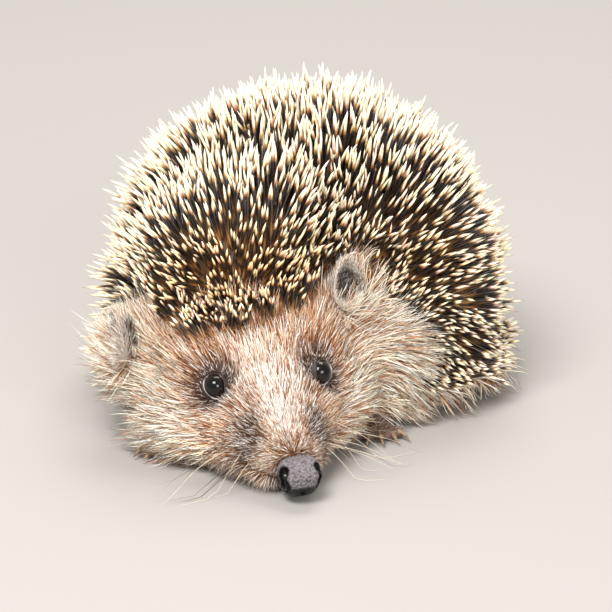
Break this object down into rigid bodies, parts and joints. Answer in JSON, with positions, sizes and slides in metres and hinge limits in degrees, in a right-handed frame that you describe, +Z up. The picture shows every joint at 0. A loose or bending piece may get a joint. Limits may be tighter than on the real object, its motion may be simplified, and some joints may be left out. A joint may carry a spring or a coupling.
{
  "type": "hedgehog",
  "caption": "Life-size European hedgehog, a still model of a live animal: it crouches with its snout low and turned a little to its left.",
  "frame": {"origin": "on the floor, under the middle of the whole animal's box", "axes": "+Y from the nose to the rump, +X to the animal's left, +Z up"},
  "size_m": [0.109, 0.1558, 0.0808],
  "materials": {
    "quills": "satin horn spines, cream at the tip, dark banded below",
    "face_fur": "short brown and cream fur",
    "body_fur": "coarse cream and brown fur",
    "ear_skin": "thin grey skin under fine pale hair",
    "nose_skin": "dark pebbled skin, moist",
    "eye": "wet black",
    "foot_skin": "brown-pink creased skin with horn claws"
  },
  "bodies": {
    "root": {"head": "face_fur", "muzzle": "face_fur", "lower_jaw": "face_fur", "nose": "nose_skin", "eye_left": "eye", "eye_right": "eye", "ear_left": "ear_skin", "ear_right": "ear_skin", "crown": "quills", "neck": "body_fur", "back": "quills", "belly": "body_fur", "tail": "foot_skin", "foreleg_left": "body_fur", "foreleg_right": "body_fur", "hindleg_left": "body_fur", "hindleg_right": "body_fur", "forefoot_left": "foot_skin", "forefoot_right": "foot_skin", "hindfoot_left": "foot_skin", "hindfoot_right": "foot_skin"}
  },
  "joints": []
}
